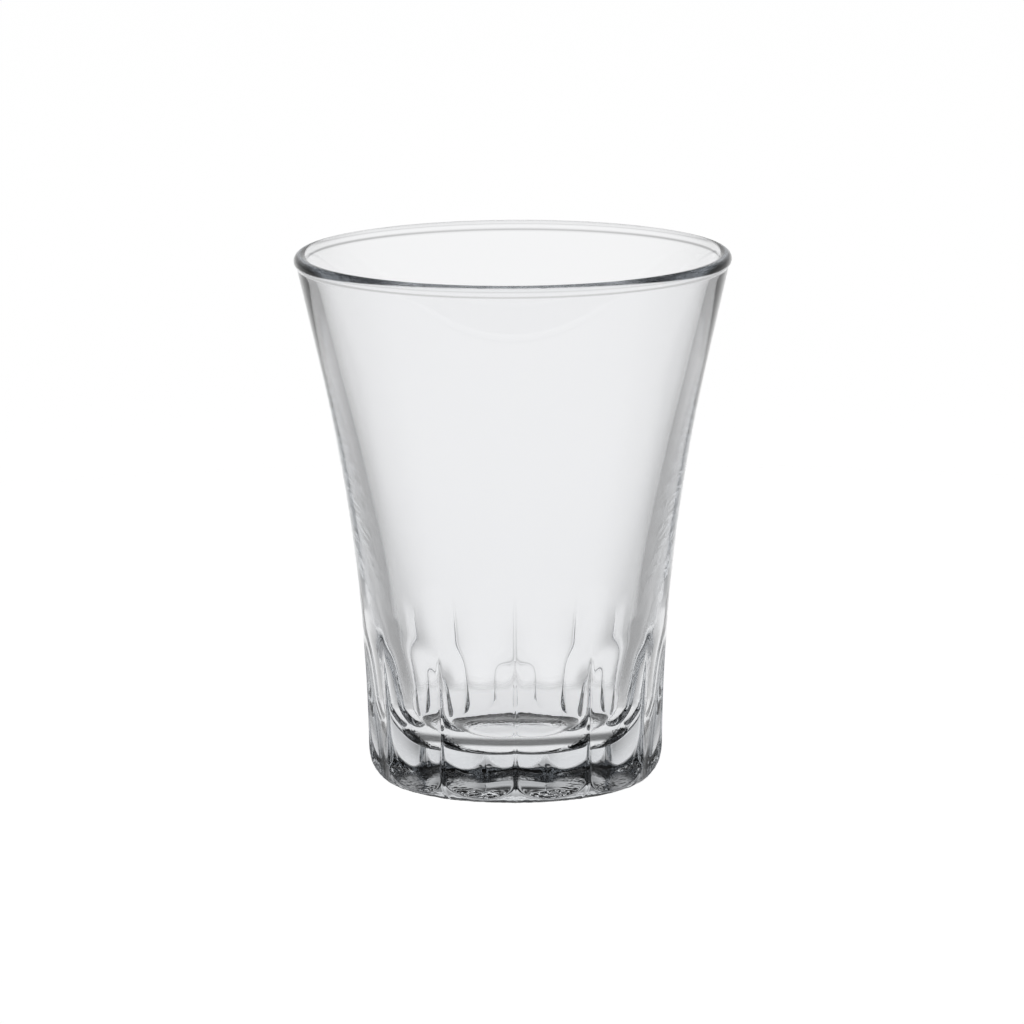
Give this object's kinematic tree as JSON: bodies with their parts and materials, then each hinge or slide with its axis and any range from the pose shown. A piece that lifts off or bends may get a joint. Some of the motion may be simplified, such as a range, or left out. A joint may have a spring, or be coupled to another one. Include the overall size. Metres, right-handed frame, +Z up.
{
  "type": "cortado glass",
  "caption": "Small heavy-based glass tumbler with a flared wall, a rolled lip and a ring of flat panels round the foot, for short coffee drinks",
  "frame": {"origin": "middle of the foot, on the table", "axes": "+Z up along the axis of the glass, -Y is the front as pictured, where a ridge between two panels faces"},
  "size_m": [0.069, 0.069, 0.0845],
  "materials": {
    "glass": "clear pressed glass, fire polished"
  },
  "bodies": {
    "root": {"tumbler": "glass"}
  },
  "joints": []
}
